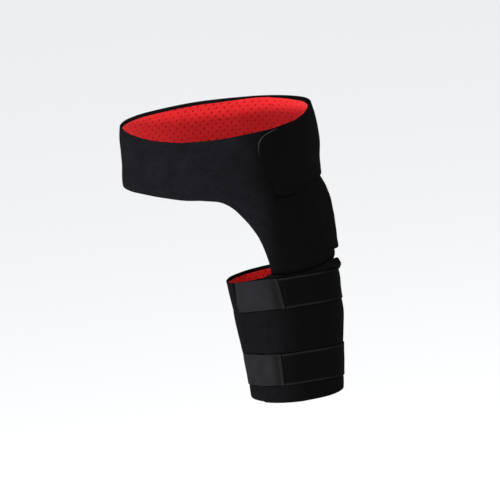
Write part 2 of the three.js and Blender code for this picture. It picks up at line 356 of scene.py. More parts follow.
class Finish:
    def __init__(self, name):
        self.material = bpy.data.materials.new(name)
        self.material.use_nodes = True
        self.nodes = self.material.node_tree.nodes
        self.links = self.material.node_tree.links
        self.shader = self.nodes["Principled BSDF"]

    def add(self, kind, settings=None, sockets=None, output=0):
        node = self.nodes.new(kind)
        for setting, value in (settings or {}).items():
            setattr(node, setting, value)
        for socket, value in (sockets or {}).items():
            self.feed(node.inputs[socket], value)
        return Value(self, node.outputs[output])

    def feed(self, socket, value):
        if isinstance(value, Value):
            self.links.new(value.socket, socket)
        elif isinstance(value, tuple) and len(value) == 3 and socket.type == "RGBA":
            socket.default_value = (*value, 1)
        else:
            socket.default_value = value

    # first where the share is 0, second where it is 1
    def colourMix(self, share, first, second):
        sockets = {0: share, 6: first, 7: second}
        return self.add("ShaderNodeMix", {"data_type": "RGBA"}, sockets, output=2)

    def place(self):
        return self.add("ShaderNodeTexCoord", output=3)

    def vector(self, x, y, z):
        return self.add("ShaderNodeCombineXYZ", sockets={0: x, 1: y, 2: z})

    # the two values of one of the cloth's maps
    def chart(self, name):
        spot = self.add("ShaderNodeUVMap", {"uv_map": name})
        outputs = self.add("ShaderNodeSeparateXYZ", sockets={0: spot}).socket.node.outputs
        return Value(self, outputs[0]), Value(self, outputs[1])

    def grain(self, scale, detail, rough, where=None):
        sockets = {"Vector": where or self.place(), "Scale": scale, "Detail": detail, "Roughness": rough}
        return self.add("ShaderNodeTexNoise", sockets=sockets)

    def bump(self, height, distance, strength):
        sockets = {"Height": height, "Distance": distance, "Strength": strength}
        return self.add("ShaderNodeBump", sockets=sockets)

    # the shader's own inputs, with _ for each space in their names
    def set(self, **sockets):
        for name, value in sockets.items():
            self.feed(self.shader.inputs[name.replace("_", " ")], value)


# lengths in metres
plush = {
    "dark": (0.0041, 0.0041, 0.0050), "light": (0.0079, 0.0080, 0.0099),
    # the smooth tones are the free end's smoother face; they also stand in as painted shade where the
    # face is darkened towards the braced side and in crease grooves
    "smoothDark": (0.0020, 0.0020, 0.0021), "smoothLight": (0.0031, 0.0031, 0.0032),
    # the near-black tone on the next line is a painted shadow tone, for the lines beside the straps'
    # edges and under the free end
    "creaseAndShade": (0.0007, 0.0007, 0.0009),
    # next line: the pale cut foam of the free end, brightened as a painted highlight, then a painted
    # highlight strip beside the free end's edge
    "cutEdge": (0.0300, 0.0300, 0.0310), "freeEdgeHighlight": (0.0098, 0.0098, 0.0116),
    "streaksAlong": 90, "streaksUp": 300,  # the other four are noise scales too, coarse to fine
    "blotches": 26, "mottle": 150, "tufts": 640, "fuzz": 1900,
    "edgeFades": (0.0008, 0.0018),  # distances from the free end over which its cut edge fades
    "highlightStripFades": (0.0008, 0.0032),  # and over which the painted highlight strip beside it does
    "highlightFrom": -0.004, "highlightAt": 0.036,  # heights over which the cut edge's painted highlight fades in
    "relief": 0.0004, "reliefStrength": 0.7,
    "roughness": 0.95, "sheen": 0.004, "specular": 0.004,
}


# brushed face, smoother and darker where the shade is 0, painted black shadow below that, paler where
# the belt's free end is cut, as partly painted highlight, with a painted highlight strip beside that end
def plushMaterial():
    finish = Finish("plushNeoprene")
    u, v = finish.chart("clothMap")
    tail, shade = finish.chart("endMap")
    isPlush = shade.most(0)
    streakMap = finish.vector(u * plush["streaksAlong"], v * plush["streaksUp"], 0)
    streaks = finish.grain(1.0, 4.0, 0.7, where=streakMap)
    mottle = finish.grain(plush["mottle"], 4.0, 0.65)
    tufts = finish.grain(plush["tufts"], 2.0, 0.7)
    fuzz = finish.grain(plush["fuzz"], 2.0, 0.6)
    blotches = finish.grain(plush["blotches"], 3.0, 0.6)
    share = (streaks * 0.3 + mottle * 0.3 + tufts * 0.2 + fuzz * 0.2 + blotches * 0.3).step(0.46, 0.84)
    brushed = finish.colourMix(share, plush["dark"], plush["light"])
    # painted highlight: a broken pale strip beside the free end's edge
    lightAndShade = (1 - tail.step(*plush["highlightStripFades"])) * mottle.step(0.36, 0.60)
    brushed = finish.colourMix(lightAndShade, brushed, plush["freeEdgeHighlight"])
    smooth = finish.colourMix(fuzz.step(0.35, 0.7), plush["smoothDark"], plush["smoothLight"])
    # painted shadow where the shade falls below 0
    paintedShadowShare = (0 - shade).most(0)
    face = finish.colourMix(paintedShadowShare, finish.colourMix(isPlush, smooth, brushed), plush["creaseAndShade"])
    # the cut edge: paler foam with a painted highlight that fades out lower down
    isFace = 1 - (1 - tail.step(*plush["edgeFades"])) * v.step(plush["highlightFrom"], plush["highlightAt"])
    relief = (tufts * 0.6 + fuzz * 0.4 + streaks * 0.3) * (isPlush * 0.8 + 0.2)
    normal = finish.bump(relief, plush["relief"], plush["reliefStrength"])
    finish.set(Base_Color=finish.colourMix(isFace, plush["cutEdge"], face), Normal=normal)
    finish.set(Roughness=plush["roughness"], Specular_IOR_Level=plush["specular"])
    finish.set(Sheen_Weight=plush["sheen"], Sheen_Roughness=0.5)
    return finish.material


# lengths in metres
lining = {
    "red": (0.66, 0.0175, 0.0205), "deep": (0.57, 0.0135, 0.0165),
    "hole": (0.235, 0.0004, 0.0004), "shadow": (0.34, 0.0100, 0.0130),
    "pitch": 0.0132, "holeRadius": 0.00145,
    "knitAlong": 0.0011, "knitUp": 0.0009, "mottle": 240,
    "relief": 0.0004, "reliefStrength": 0.7,
    "roughness": 0.85, "sheen": 0.04, "specular": 0.15,
}


# the perforations lie in staggered rows on the cloth's own map; the red turns to a painted shadow tone
# where the shade is 0
def liningMaterial():
    finish = Finish("perforatedLining")
    u, v = finish.chart("clothMap")
    shade = finish.chart("endMap")[1]
    pitch = lining["pitch"]

    def spots(shift):
        acrossSpot = ((u / pitch + shift).fract() - 0.5) * pitch
        upSpot = ((v / pitch + shift).fract() - 0.5) * pitch
        return (acrossSpot * acrossSpot + upSpot * upSpot).power(0.5)

    near = spots(0.0).least(spots(0.5))
    cloth = near.step(lining["holeRadius"] * 0.8, lining["holeRadius"] * 1.15)
    knit = u.waves(lining["knitAlong"]) * v.waves(lining["knitUp"])
    mottle = finish.grain(lining["mottle"], 3.0, 0.6).step(0.3, 0.7)
    face = finish.colourMix(mottle, lining["deep"], lining["red"])
    # painted shade on the lining where the shade is low
    face = finish.colourMix(shade, lining["shadow"], face)
    normal = finish.bump(cloth + knit * 0.06, lining["relief"], lining["reliefStrength"])
    finish.set(Base_Color=finish.colourMix(cloth, lining["hole"], face), Normal=normal)
    finish.set(Roughness=lining["roughness"], Specular_IOR_Level=lining["specular"])
    finish.set(Sheen_Weight=lining["sheen"], Sheen_Roughness=0.5)
    return finish.material


# foldWidth, in metres, is the pale fold at the end, a painted highlight on the folded end; sewn is 1
# where a groove is pressed in behind it, darkened by painted shade
webbing = {
    "dark": (0.0015, 0.0015, 0.0016), "light": (0.0031, 0.0031, 0.0033),
    # the tone after dark and light is the band's painted lit tone; groove is a painted shade tone for
    # the sewn groove
    "lightAndShade": (0.0026, 0.0026, 0.0028), "groove": (0.0012, 0.0012, 0.0014),
    # the selvedge tone is partly a paler selvedge weave and partly a painted highlight along the raised
    # edges and the folded end
    "selvedge": (0.0100, 0.0100, 0.0105),
    "foldWidth": 0.0050, "sewn": 1.0, "roughness": 0.8, "specular": 0.006,
}
tabCloth = {
    "dark": (0.0045, 0.0045, 0.0051), "light": (0.0065, 0.0065, 0.0074),
    # the tone after dark and light is the tab's own paler tone where it is lit; the darker tones stand
    # in as painted shade next to the band's end
    "lightAndShade": (0.0136, 0.0133, 0.0155), "groove": (0.0030, 0.0030, 0.0034),
    "selvedge": (0.0108, 0.0108, 0.0124),
    "foldWidth": 0.0008, "sewn": 0.0, "roughness": 0.75, "specular": 0.012,
}
# lengths in metres, those of the selvedge and its groove measured in from the band's edge
weaving = {
    "ribs": 0.0013, "picks": 0.0011, "fibre": 900, "clouds": 48,
    "selvedgeFrom": 0.0042, "selvedgeAt": 0.0022,
    "grooveIn": 0.0046, "grooveFades": (0.0002, 0.0008),
    "foldFade": 0.0006, "seamBehind": 0.0014, "seamFades": (0.0003, 0.0013),
    "relief": 0.00035, "reliefStrength": 0.6, "sheen": 0.003,
}


# woven band: the map's v runs across it, from its lower edge up; it takes its lit tone where the shade
# is 1, and painted shade where the shade is low
def bandMaterial(name, width, tones):
    finish = Finish(name)
    u, v = finish.chart("clothMap")
    tail, lightAndShade = finish.chart("endMap")
    half = width / 2 * mm
    weave = (v.waves(weaving["ribs"]) * 0.5 + 0.5) * 0.6 + (u.waves(weaving["picks"]) * 0.5 + 0.5) * 0.4
    fibre = finish.grain(weaving["fibre"], 2.0, 0.6)
    share = (weave * 0.6 + fibre * 0.5).step(0.25, 0.85)
    colour = finish.colourMix(share, tones["dark"], tones["light"])
    cloud = finish.grain(weaving["clouds"], 2.0, 0.5).step(0.25, 0.75)
    # painted light and shade along the band, from the endMap's second value
    colour = finish.colourMix(lightAndShade * (share * 0.3 + 0.7) * (cloud * 0.3 + 0.7), colour, tones["lightAndShade"])
    edge = v.size().step(half - weaving["selvedgeFrom"], half - weaving["selvedgeAt"])
    foldWidth, foldFade = tones["foldWidth"], weaving["foldFade"]
    fold = 1 - tail.step(foldWidth - foldFade, foldWidth + foldFade)
    # pale selvedge and folded end: partly paler weave, partly painted highlight, fading with the painted
    # light
    colour = finish.colourMix((edge * lightAndShade * 0.8).most(fold), colour, tones["selvedge"])
    seam = 1 - (tail - foldWidth - weaving["seamBehind"]).size().step(*weaving["seamFades"])
    # painted shade in the sewn groove
    colour = finish.colourMix(seam * tones["sewn"], colour, tones["groove"])
    groove = 1 - (v.size() - (half - weaving["grooveIn"])).size().step(*weaving["grooveFades"])
    relief = weave * 0.5 + edge * 0.9 - groove * 0.8 - seam * tones["sewn"]
    normal = finish.bump(relief, weaving["relief"], weaving["reliefStrength"])
    finish.set(Base_Color=colour, Normal=normal)
    finish.set(Roughness=tones["roughness"], Specular_IOR_Level=tones["specular"])
    finish.set(Sheen_Weight=weaving["sheen"], Sheen_Roughness=0.4)
    return finish.material


# lengths in millimetres: pitch from stitch to stitch, inset from the band's edge, out off its face
thread = {
    "length": 2.5, "radius": 0.24, "pitch": 3.4, "inset": 4.5, "out": 0.05,
    "dark": (0.0016, 0.0016, 0.0018), "light": (0.0034, 0.0034, 0.0036), "twist": 2600,
}


def threadMaterial():
    finish = Finish("sewingThread")
    twist = finish.grain(thread["twist"], 2.0, 0.5)
    finish.set(Base_Color=finish.colourMix(twist, thread["dark"], thread["light"]))
    finish.set(Roughness=0.6, Specular_IOR_Level=0.006, Normal=finish.bump(twist, 0.0001, 0.5))
    return finish.material


plushFinish = plushMaterial()
liningFinish = liningMaterial()
threadFinish = threadMaterial()
print("materials ready")


# waist belt and hip panel, one cut piece that spirals once round and laps over the braced hip
waist = {
    "rear": -52, "front": 104,  # turns that the hip panel spans
    "end": 428, "endStarts": 392,  # the free end, and where its shape begins
    "risesFrom": 282, "risenAt": 302,  # where the belt lifts to pass over the panel
    "linerEnd": 307.4,
    "panelColumns": 104, "beltRows": 34, "beltCrowd": 0.55,
    "tuck": 1.6, "tuckFrom": 188, "tuckAt": 204,  # how far in the tongue lies, from how far down
    "linerRim": 0.6,  # the lining's margin here, over the usual one
    "backBinding": 1.1,  # share by which the rim's black edge is wider at the back
    "backTurns": (140, 172, 270, 300),
    "innerDrop": 2.6,  # how much lower the covered layer's rim lies
    "coveredTurns": (-52, -22, 28, 48),
    "cornerDrop": 6.5,  # how far the panel's rear corner hangs down
    "cornerTurns": (-2, 18), "cornerRows": (6, 8),
}
waistRim = [
    {"turn": 0, "height": 61}, {"turn": 14, "height": 56.9}, {"turn": 33, "height": 49.4},
    {"turn": 55, "height": 42.2}, {"turn": 71, "height": 40.4}, {"turn": 90, "height": 37.4},
    {"turn": 109, "height": 36.6}, {"turn": 124, "height": 39.2}, {"turn": 143, "height": 44.6},
    {"turn": 154, "height": 48.2}, {"turn": 173, "height": 54.0}, {"turn": 205, "height": 56.2},
    {"turn": 237, "height": 57.6}, {"turn": 264, "height": 60.2}, {"turn": 288, "height": 60.9},
    {"turn": 320, "height": 61.8}, {"turn": 345, "height": 62.6}, {"turn": 360, "height": 61},
]
# the belt's lower edge in front of the hip panel, and on over it
beltLow = [
    {"turn": 104, "height": -60.5}, {"turn": 113, "height": -59}, {"turn": 128, "height": -53.5},
    {"turn": 147, "height": -47.8}, {"turn": 170, "height": -45}, {"turn": 200, "height": -42},
    {"turn": 240, "height": -40}, {"turn": 280, "height": -41}, {"turn": 310, "height": -46},
    {"turn": 340, "height": -53}, {"turn": 368, "height": -57.2}, {"turn": 386, "height": -57.8},
    {"turn": 395, "height": -60.1}, {"turn": 401, "height": -63.8}, {"turn": 408, "height": -68.6},
    {"turn": 414, "height": -70.3}, {"turn": 420, "height": -70.3},
]
# the free end's outline, from the lower edge to the rim
flapEnd = [
    {"rise": 0, "turn": 415.2, "height": -70.0}, {"rise": 0.05, "turn": 417.4, "height": -65.0},
    {"rise": 0.14, "turn": 417.6, "height": -54}, {"rise": 0.27, "turn": 419.8, "height": -40},
    {"rise": 0.36, "turn": 421.6, "height": -30}, {"rise": 0.50, "turn": 424.4, "height": -16},
    {"rise": 0.61, "turn": 426.3, "height": -4.8}, {"rise": 0.73, "turn": 427.2, "height": 8.5},
    {"rise": 0.84, "turn": 426.5, "height": 20.6}, {"rise": 0.93, "turn": 423.6, "height": 31.4},
    {"rise": 0.975, "turn": 418.4, "height": 37.6}, {"rise": 1, "turn": 412.5, "height": 41.4},
]
# the panel's edges from row 0 at the belt down to row 12 at the tongue's end, which begins at row 8
hipPanel = [
    {"row": 0, "front": 104, "frontHeight": -60.5, "rear": -52, "rearHeight": -56},
    {"row": 1, "front": 93.5, "frontHeight": -66, "rear": -52, "rearHeight": -70},
    {"row": 2, "front": 89.5, "frontHeight": -78, "rear": -52, "rearHeight": -86},
    {"row": 3, "front": 88.1, "frontHeight": -96, "rear": -51.5, "rearHeight": -104},
    {"row": 4, "front": 88.0, "frontHeight": -113, "rear": -49, "rearHeight": -122},
    {"row": 5, "front": 88.4, "frontHeight": -128, "rear": -43, "rearHeight": -139},
    {"row": 6, "front": 90.0, "frontHeight": -145, "rear": -31, "rearHeight": -155},
    {"row": 7, "front": 92.0, "frontHeight": -160, "rear": -16, "rearHeight": -168},
    {"row": 8, "front": 94.2, "frontHeight": -174, "rear": -2, "rearHeight": -177.5},
    {"row": 8.3, "front": 94.8, "frontHeight": -178, "rear": 20, "rearHeight": -179.5},
    {"row": 9, "front": 97.2, "frontHeight": -189, "rear": 18.5, "rearHeight": -188.5},
    {"row": 9.5, "front": 98.2, "frontHeight": -196, "rear": 14.5, "rearHeight": -196},
    {"row": 10, "front": 99.2, "frontHeight": -203, "rear": 8, "rearHeight": -203},
    {"row": 12, "front": 100.6, "frontHeight": -236, "rear": 4, "rearHeight": -236},
]


def rimAt(turn):
    return along(waistRim, "turn", turn % 360, "height")


def beltLowAt(turn):
    if turn <= waist["front"]:
        share = (turn - waist["rear"]) / (waist["front"] - waist["rear"])
        return mix(hipPanel[0]["rearHeight"], hipPanel[0]["frontHeight"], share)
    return along(beltLow, "turn", turn, "height")


# rows of the belt from its lower edge to the rim, up to the turn where it ends
def beltRows(end, margin):
    step = (waist["front"] - waist["rear"]) / waist["panelColumns"]
    turns = []
    while waist["rear"] + step * len(turns) < end - 0.01:
        turns.append(waist["rear"] + step * len(turns))
    turns.append(end)
    rows = []
    for rise in shares(waist["beltRows"], waist["beltCrowd"]):
        row = []
        for turn in turns:
            rim = rimAt(turn) - margin * (1 + waist["backBinding"] * within(turn, waist["backTurns"]))
            rim -= waist["innerDrop"] * within(turn, waist["coveredTurns"])
            low = beltLowAt(turn) + margin * ramp(turn, waist["front"], waist["front"] + 4)
            height = mix(low, rim, rise)
            if turn > waist["endStarts"]:
                share = (turn - waist["endStarts"]) / (waist["end"] - waist["endStarts"])
                square = mix(beltLowAt(waist["end"]), rimAt(waist["end"]), rise)
                height += share ** 2 * (along(flapEnd, "rise", rise, "height") - square)
                turn += share * (along(flapEnd, "rise", rise, "turn") - waist["end"])
            row.append((turn, height))
        rows.append(row)
    return rows


# rows of the panel from the tongue's end up to the row that it shares with the belt, which is joined;
# the levels lie closer where the panel's rear corner steps in to the tongue
def panelRows(joined, margin):
    levels = [0.25 * k for k in range(1, 32)] + [7.9, 8.0, 8.3] + [8.5 + 0.25 * k for k in range(15)]
    tongueRow = waist["cornerRows"][1]
    rows = []
    for level in levels:
        rear, front = (along(hipPanel, "row", level, end) for end in ("rear", "front"))
        low, high = (along(hipPanel, "row", level, end) for end in ("rearHeight", "frontHeight"))
        row = []
        for k in range(waist["panelColumns"] + 1):
            share = k / waist["panelColumns"]
            inward = margin / 2 * (1 - 2 * share) * ramp(level, 0, 1)
            turn, height = mix(rear, front, share) + inward, mix(low, high, share)
            if level <= tongueRow:
                corner = (1 - ramp(turn, *waist["cornerTurns"])) * ramp(level, *waist["cornerRows"])
                height -= waist["cornerDrop"] * corner
            row.append((turn, height))
        rows.append(row)
    rows.reverse()
    return rows + [joined]


def waistLift(turn, height):
    tongue = waist["tuck"] * ramp(-height, waist["tuckFrom"], waist["tuckAt"])
    return doubled * ramp(turn, waist["risesFrom"], waist["risenAt"]) - tongue + drift(turn, height)


# places in millimetres or turns
waistShade = {
    "beltShadeFrom": 21, "panelShadeFrom": 46, "shadeRampAt": 88,  # distances towards the braced side, over which the face turns smoother and darker, partly as painted shade
    "panelBelow": -70, "beltAbove": -40,
    "freeEnd": (330, 370),  # turns over which the belt's free end turns smooth
    # painted shade in the creases' grooves
    "grooveShade": 0.3, "grooveDepths": (0.1, 1.2),
    "underEnd": (24, 46, 58, 62), "underGap": (-3, 0, 1.0, 4.6),  # the painted shadow line under the free end
    "linerLow": 0.72, "linerHeights": (-5, 42),  # the lining, darker red low down as painted shade
}


# brushed away from the hip; over it smoother and darker, partly as painted shade; smooth on the belt's
# free end; painted shade in crease grooves and a painted shadow line below that end
def plushAt(turn, height):
    belt = ramp(height, waistShade["panelBelow"], waistShade["beltAbove"])
    shadeRampFrom = mix(waistShade["panelShadeFrom"], waistShade["beltShadeFrom"], belt)
    # smoother and darker towards the braced side, partly painted shade
    face = 1 - ramp(formPoint(turn, height, 0).x / mm, shadeRampFrom, waistShade["shadeRampAt"])
    face *= 1 - ramp(turn, *waistShade["freeEnd"])
    # painted shade in crease grooves
    face *= 1 - waistShade["grooveShade"] * ramp(-creased(turn, height), *waistShade["grooveDepths"])
    # painted shadow line under the free end's lower edge
    below = along(beltLow, "turn", turn + 360, "height") - height
    return mix(face, -1, within(turn, waistShade["underEnd"]) * within(below, waistShade["underGap"]))


def beltOut(turn, height):
    return layers["liner"] + layers["bonded"] + waistLift(turn, height)


# painted shade: the lining darkens towards its shadow tone low down
def waistLinerShade(turn, height):
    return mix(waistShade["linerLow"], 1.0, ramp(height, *waistShade["linerHeights"]))


def makeWaistCloth(name, end, margin, outAt, shadeAt):
    rows = beltRows(end, margin)
    belt = layGrid(name, rows, outAt, shadeAt)
    lower = panelRows(rows[0][:waist["panelColumns"] + 1], margin)
    panel = layGrid(name + "Panel", lower, outAt, shadeAt, 1.0)
    return joinCloth(belt, panel)


beltCloth = makeWaistCloth("beltAndHipPanelCloth", waist["end"], 0, beltOut, plushAt)
thicken(beltCloth, layers["foam"], layers["foamEdge"])
finishPiece(beltCloth, plushFinish, "belt_and_hip_panel")

waistMargin = layers["linerMargin"] + waist["linerRim"]
waistLiner = makeWaistCloth("waistLiningCloth", waist["linerEnd"], waistMargin, waistLift,
                            waistLinerShade)
thicken(waistLiner, layers["liner"], layers["linerEdge"])
finishPiece(waistLiner, liningFinish, "waist_lining")


# thigh wrap: a tapered sleeve, closed at the front with its free edge outside
thigh = {
    "hem": -422, "innerEnd": 98, "outerEdge": 470,
    "risesFrom": 430, "risenAt": 452,  # where the free edge's layer lifts to pass over the inner end
    "edgeTurn": 107, "edgeHeight": -206, "edgeSlant": -0.13,
    "linerEnd": 456.5,
    "columns": 248, "rowCounts": (7, 5, 10, 5, 18, 5, 26),  # rows between the stops of thighHeights
    "besideStrap": 4,  # width of the fine rows beside the straps
    "backBinding": 1.9,  # share by which the rim's black edge is wider at the back
    "backTurns": (175, 200, 310, 335),
    "lipTurn": 9, "lipHalfWidths": (8, 30),  # turns over which the rolled lip dies away
    "pressed": 0.7, "pressedOver": (-3, 6),  # how far the straps press in, and from their edges
    "swell": 1.0, "swellHeight": -308, "swellReach": 26,
    "drift": 0.8,  # share of the worn cloth's unevenness
    # plush is the share of brushed tone on the wrap; over the two distances after it the face turns
    # smoother and darker towards the outer side, partly as painted shade; the last is the width of the
    # painted shadow lines along the straps
    "plush": 0.52, "shadeRampFrom": 46, "shadeRampAt": 106, "shadowLineWidth": (0.4, 2.6),
}
lipCurve = [
    {"below": 0, "out": 3.0}, {"below": 3, "out": 7.0}, {"below": 6, "out": 9.4},
    {"below": 9, "out": 7.2}, {"below": 12, "out": 3.2}, {"below": 14, "out": 1.6},
    {"below": 17, "out": 1.8}, {"below": 24, "out": 2.0}, {"below": 34, "out": 1.4},
    {"below": 46, "out": 0.5}, {"below": 56, "out": 0},
]
thighRim = [
    {"turn": 0, "height": -208.5}, {"turn": 7, "height": -205}, {"turn": 14, "height": -200.8},
    {"turn": 22, "height": -196.4}, {"turn": 30, "height": -195}, {"turn": 42, "height": -199},
    {"turn": 60, "height": -203.5}, {"turn": 85, "height": -203.2}, {"turn": 100, "height": -200.6},
    {"turn": 106, "height": -204.6}, {"turn": 121, "height": -209.6}, {"turn": 136, "height": -214.2},
    {"turn": 164, "height": -221.2}, {"turn": 199, "height": -223.2}, {"turn": 220, "height": -223.6},
    {"turn": 240, "height": -223}, {"turn": 275, "height": -220.5},
    {"turn": 310, "height": -220}, {"turn": 336, "height": -219}, {"turn": 350, "height": -214},
    {"turn": 360, "height": -208.5},
]
# middle, tilt, sag and width are in millimetres, the rest are turns
straps = {
    "upper": {"middle": -245, "tilt": 12, "sag": 3.8, "width": 52, "start": -128,
              "jointTop": 96.6, "jointLow": 94.8, "tabTop": 146, "tabLow": 152},
    "lower": {"middle": -373, "tilt": 9.5, "sag": 0, "width": 54, "start": -128,
              "jointTop": 107.2, "jointLow": 107.6, "tabTop": 170, "tabLow": 176},
}
sagTurns = (96, 146, 175, 220)


def thighRimAt(turn):
    return along(thighRim, "turn", turn % 360, "height")


# the rolled lip at the outer side of the thigh
def flare(turn, height):
    aside = abs((turn - thigh["lipTurn"] + 180) % 360 - 180)
    out = along(lipCurve, "below", thighRimAt(turn) - height, "out")
    return out * (1 - ramp(aside, *thigh["lipHalfWidths"]))


def strapMiddle(strap, turn):
    sag = strap["sag"] * within(turn % 360, sagTurns)
    return strap["middle"] + strap["tilt"] * math.sin(math.radians(turn)) - sag


# the straps press the sleeve in a little and it swells between them
def pressed(turn, height):
    total = thigh["swell"] * math.exp(-((height - thigh["swellHeight"]) / thigh["swellReach"]) ** 2)
    for strap in straps.values():
        off = abs(height - strapMiddle(strap, turn)) - strap["width"] / 2
        total -= thigh["pressed"] * (1 - ramp(off, *thigh["pressedOver"]))
    return total


def thighLift(turn, height):
    over = doubled * ramp(turn, thigh["risesFrom"], thigh["risenAt"])
    return over + flare(turn, height) + pressed(turn, height) + drift(turn, height) * thigh["drift"]


# turn of the free edge, which slants
def edgeAt(height):
    return thigh["edgeTurn"] + (height - thigh["edgeHeight"]) * thigh["edgeSlant"]


# heights of the sleeve's rows at one turn, close together beside the straps' edges
def thighHeights(turn, margin):
    low, high = (strapMiddle(straps[key], turn) for key in ("lower", "upper"))
    halfLow, halfHigh = straps["lower"]["width"] / 2, straps["upper"]["width"] / 2
    beside = thigh["besideStrap"]
    rim = thighRimAt(turn) - margin * (1 + thigh["backBinding"] * within(turn, thigh["backTurns"]))
    stops = [thigh["hem"] + margin, low - halfLow - beside, low - halfLow, low + halfLow,
             low + halfLow + beside, high - halfHigh - beside, high - halfHigh, rim]
    heights = []
    for lower, upper, count in zip(stops, stops[1:], thigh["rowCounts"]):
        heights += [mix(lower, upper, k / count) for k in range(count)]
    return heights + [stops[-1]]


def thighRows(end, margin):
    step = (thigh["outerEdge"] - thigh["innerEnd"]) / thigh["columns"]
    count = round((end - thigh["innerEnd"]) / step)
    turns = [thigh["innerEnd"] + k * step for k in range(count + 1)]
    columns = [(turn, thighHeights(turn, margin)) for turn in turns]
    rows = []
    for level in range(sum(thigh["rowCounts"]) + 1):
        row = []
        for turn, heights in columns:
            height = heights[level]
            if turn > thigh["risenAt"]:
                shift = 360 + edgeAt(height) - thigh["outerEdge"]
                turn += ramp(turn, thigh["risenAt"], thigh["outerEdge"]) * shift
            row.append((turn, height))
        rows.append(row)
    return rows


# smoother and darker towards the outer side, partly painted shade; below 0 for the painted shadow lines
# along the straps
def wrapPlushAt(turn, height):
    creaseAndShade = 0
    for strap in straps.values():
        if not strap["tabLow"] < turn % 360 < strap["start"] + 360:
            off = abs(height - strapMiddle(strap, turn % 360)) - strap["width"] / 2
            # painted shadow line along the strap's edge
            creaseAndShade = max(creaseAndShade, 1 - ramp(off, *thigh["shadowLineWidth"]))
    # smoother and darker towards the outer side, partly painted shade
    lightAndShade = ramp(formPoint(turn, height, 0).x / mm, thigh["shadeRampFrom"], thigh["shadeRampAt"])
    return mix(thigh["plush"] * (1 - lightAndShade), -1, creaseAndShade)


def wrapOut(turn, height):
    return thighFace - layers["foam"] + thighLift(turn, height)


def wrapLinerOut(turn, height):
    return thighLiner + thighLift(turn, height)


wrapCloth = layGrid("thighWrapCloth", thighRows(thigh["outerEdge"], 0), wrapOut, wrapPlushAt)
thicken(wrapCloth, layers["foam"], layers["foamEdge"])
finishPiece(wrapCloth, plushFinish, "thigh_wrap")

linerRows = thighRows(thigh["linerEnd"], layers["linerMargin"])
wrapLiner = layGrid("thighLiningCloth", linerRows, wrapLinerOut, lambda turn, height: 1.0)
thicken(wrapLiner, layers["liner"], layers["linerEdge"])
finishPiece(wrapLiner, liningFinish, "thigh_lining")


# the straps lie on the wrap, over its free edge; the tab reaches in under the band's end
bandShape = {
    "rowsUp": 14, "crowd": 0.6, "columns": 160, "tabColumns": 60,
    "seat": 0.25,  # how much closer than loose cloth they lie
    "edgeStep": (2, 13),  # turns past the free edge over which they step down from it
    "overTab": 8, "liftTurns": (14, 4),  # turns before the tab's end over which the band lifts
    "roundEnd": 1.6, "roundFrom": 0.72,  # the tab's round corners, in turns and as a share
    "tabThinner": 0.2, "bandEdge": 0.55, "tabEdge": 0.5,
    "startSeams": (2, 10), "endSeams": (1.6, 9),  # turns in from the band's two ends
    # painted light on the band, least over the back and the right side and full towards its front end;
    # on the tab, painted shade next to the band's end
    "leastLit": 0.3, "litTurns": (28, 64), "tabLeastLit": 0.12, "tabLitTurns": (1, 12),
}


def strapBase(turn, height):
    over = ramp(turn + 360, thigh["risesFrom"], thigh["risenAt"])
    stepFrom, stepTo = bandShape["edgeStep"]
    over *= 1 - ramp(turn, edgeAt(height) + stepFrom, edgeAt(height) + stepTo)
    lift = doubled * over + flare(turn, height) - thigh["pressed"] + drift(turn, height) * thigh["drift"]
    return thighFace + layers["loose"] - bandShape["seat"] + lift


def bandRows(strap, start, endLow, endTop, count, roundEnd=0):
    rows = []
    for side in shares(bandShape["rowsUp"], bandShape["crowd"]):
        corner = max(0, (abs(2 * side - 1) - bandShape["roundFrom"]) / (1 - bandShape["roundFrom"]))
        end = mix(endLow, endTop, side) - roundEnd * corner ** 2
        row = []
        for k in range(count + 1):
            turn = mix(start, end, k / count)
            row.append((turn, strapMiddle(strap, turn) + (side - 0.5) * strap["width"]))
        rows.append(row)
    return rows


# the band's map is re-centred across, so that its material finds both edges
def centreMap(band, width):
    chart = band.data.uv_layers["clothMap"]
    columns = len(band.data.vertices) // (bandShape["rowsUp"] + 1)
    spread = shares(bandShape["rowsUp"], bandShape["crowd"])
    for loop in band.data.loops:
        side = spread[loop.vertex_index // columns]
        u = chart.data[loop.index].uv[0]
        chart.data[loop.index].uv = (u, (side - 0.5) * width * mm)


# a capsule of thread, laid along X
def makeStitch():
    bpy.ops.object.select_all(action="DESELECT")
    bpy.ops.mesh.primitive_cylinder_add(vertices=8, radius=thread["radius"] * mm,
                                        depth=thread["length"] * mm, rotation=(0, math.pi / 2, 0))
    bpy.ops.object.transform_apply(location=True, rotation=True, scale=True)
    stitch = bpy.context.active_object
    rounding = stitch.modifiers.new("rounding", "BEVEL")
    rounding.width = thread["radius"] * 0.8 * mm
    rounding.segments = 2
    rounding.limit_method = "ANGLE"
    rounding.angle_limit = math.radians(60)
    applyAll(stitch)
    bpy.ops.object.shade_smooth()
    return stitch


